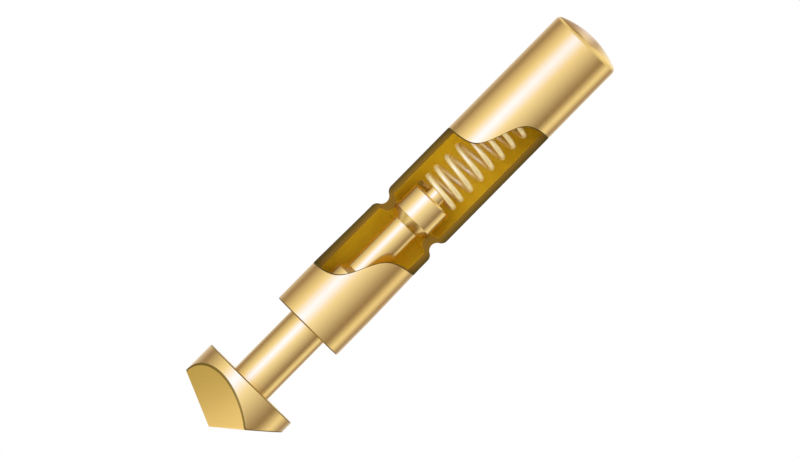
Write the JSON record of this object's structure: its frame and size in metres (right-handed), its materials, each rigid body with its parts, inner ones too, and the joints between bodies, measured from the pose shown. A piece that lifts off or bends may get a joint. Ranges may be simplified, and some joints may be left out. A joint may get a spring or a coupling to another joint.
{
  "type": "pogo pin",
  "caption": "Spring-loaded contact pin shown cut open: round barrel with a rolled crimp and domed end, waisted plunger with a three-sided point, and coil spring.",
  "frame": {"origin": "the lowest point of the barrel's domed closed end, on the axis", "axes": "+Z along the pin's axis towards the contact tip; the inspection window opens towards -Y; one ridge of the tip points to +X"},
  "size_m": [0.0028, 0.0028, 0.0139],
  "materials": {
    "barrel_gold": "gold plated, satin drawn tube, duller on the cut faces",
    "plunger_gold": "gold plated, fine turned",
    "spring_gold": "gold plated spring wire, smooth"
  },
  "bodies": {
    "barrel": {"barrel": "barrel_gold"},
    "spring": {"spring": "spring_gold"},
    "plunger": {"plunger": "plunger_gold"}
  },
  "joints": [
    {"name": "plunger_travel", "type": "slide", "parent": "barrel", "child": "spring", "axis": [0, 0, -1], "range_m": [0, 0.00187], "stiffness_N_per_m": 366, "springref_m": -0.00068, "deforming": ["spring"]},
    {"name": "plunger_spin", "type": "hinge", "parent": "spring", "child": "plunger", "pos_m": [0, 0, 0.0058], "axis": [0, 0, 1], "continuous": true}
  ]
}
